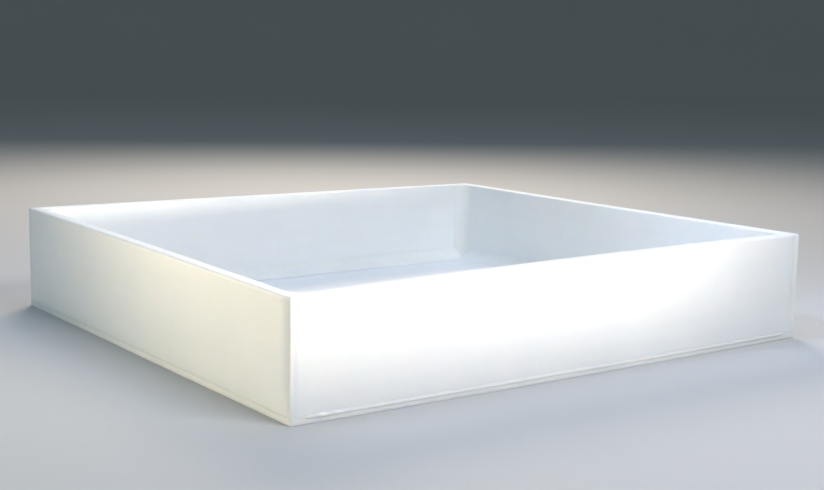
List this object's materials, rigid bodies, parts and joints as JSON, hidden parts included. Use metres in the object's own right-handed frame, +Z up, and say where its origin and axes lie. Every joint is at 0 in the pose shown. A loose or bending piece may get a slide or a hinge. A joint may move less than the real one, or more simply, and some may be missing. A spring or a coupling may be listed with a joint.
{
  "type": "developing tray",
  "caption": "Deep open-topped rectangular processing tray of thick white plastic sheet, with welded seams, an eased rim and scraped outside corners.",
  "frame": {"origin": "centre of the underside of the base plate, on the surface that the tray stands on", "axes": "+X along the long front and back walls, +Z up, front wall faces -Y"},
  "size_m": [0.6104, 0.5608, 0.107],
  "materials": {
    "sheet": "satin translucent white polypropylene sheet",
    "weld_rod": "slightly glossier natural polypropylene weld"
  },
  "bodies": {
    "root": {"base_plate": "sheet", "front_wall": "sheet", "right_wall": "sheet", "back_wall": "sheet", "left_wall": "sheet", "base_seam_weld_front": "weld_rod", "base_seam_weld_right": "weld_rod", "base_seam_weld_back": "weld_rod", "base_seam_weld_left": "weld_rod", "floor_weld_front": "weld_rod", "floor_weld_right": "weld_rod", "floor_weld_back": "weld_rod", "floor_weld_left": "weld_rod", "corner_weld_front_left": "weld_rod", "corner_weld_front_right": "weld_rod", "corner_weld_back_right": "weld_rod", "corner_weld_back_left": "weld_rod", "inside_corner_weld_front_left": "weld_rod", "inside_corner_weld_front_right": "weld_rod", "inside_corner_weld_back_right": "weld_rod", "inside_corner_weld_back_left": "weld_rod"}
  },
  "joints": []
}
